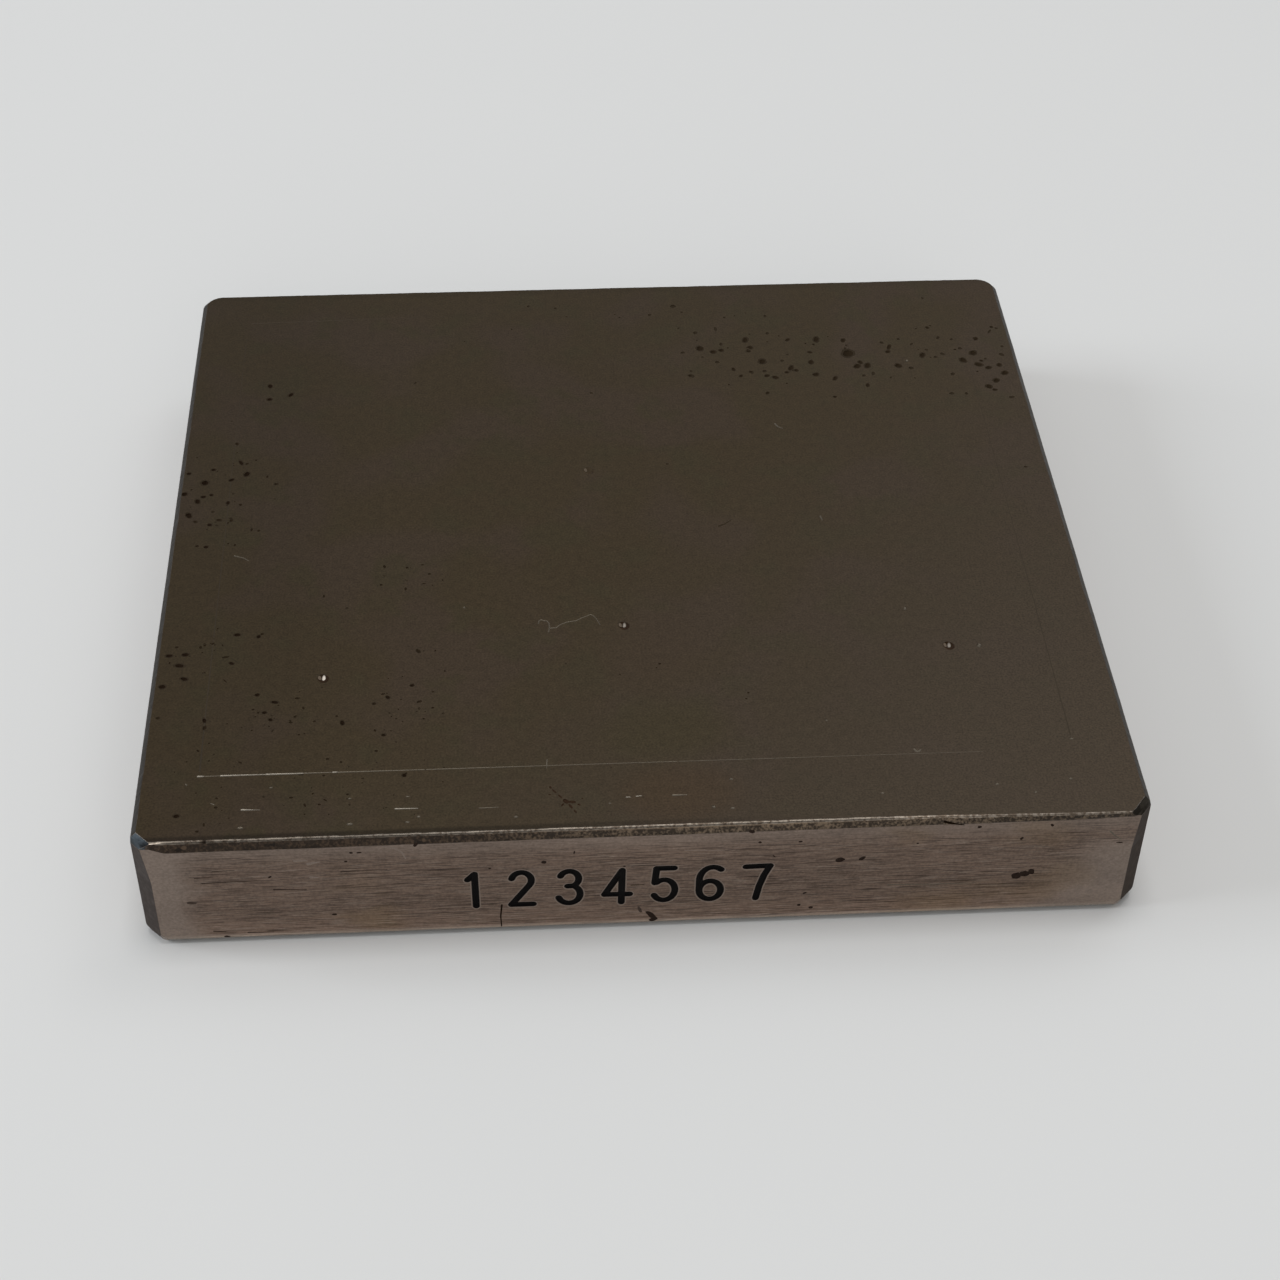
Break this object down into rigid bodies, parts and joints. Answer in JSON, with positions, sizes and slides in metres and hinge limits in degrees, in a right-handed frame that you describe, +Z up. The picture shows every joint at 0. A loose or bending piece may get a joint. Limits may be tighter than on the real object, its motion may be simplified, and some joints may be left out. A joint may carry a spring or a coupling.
{
  "type": "hardness test block",
  "caption": "Flat square ground-steel block with a lapped top face, bevelled edges, clipped corners and cone indents.",
  "frame": {"origin": "middle of the ground underside that the block rests on", "axes": "+X along the longer side, to the right as the stamped number is read; +Y away from the stamped side; +Z up, out of the lapped test face"},
  "size_m": [0.0508, 0.048, 0.0072],
  "materials": {
    "ground_steel": "lapped dull top face with rust pits, ground sides with light stains"
  },
  "bodies": {
    "root": {"test_block": "ground_steel"}
  },
  "joints": []
}
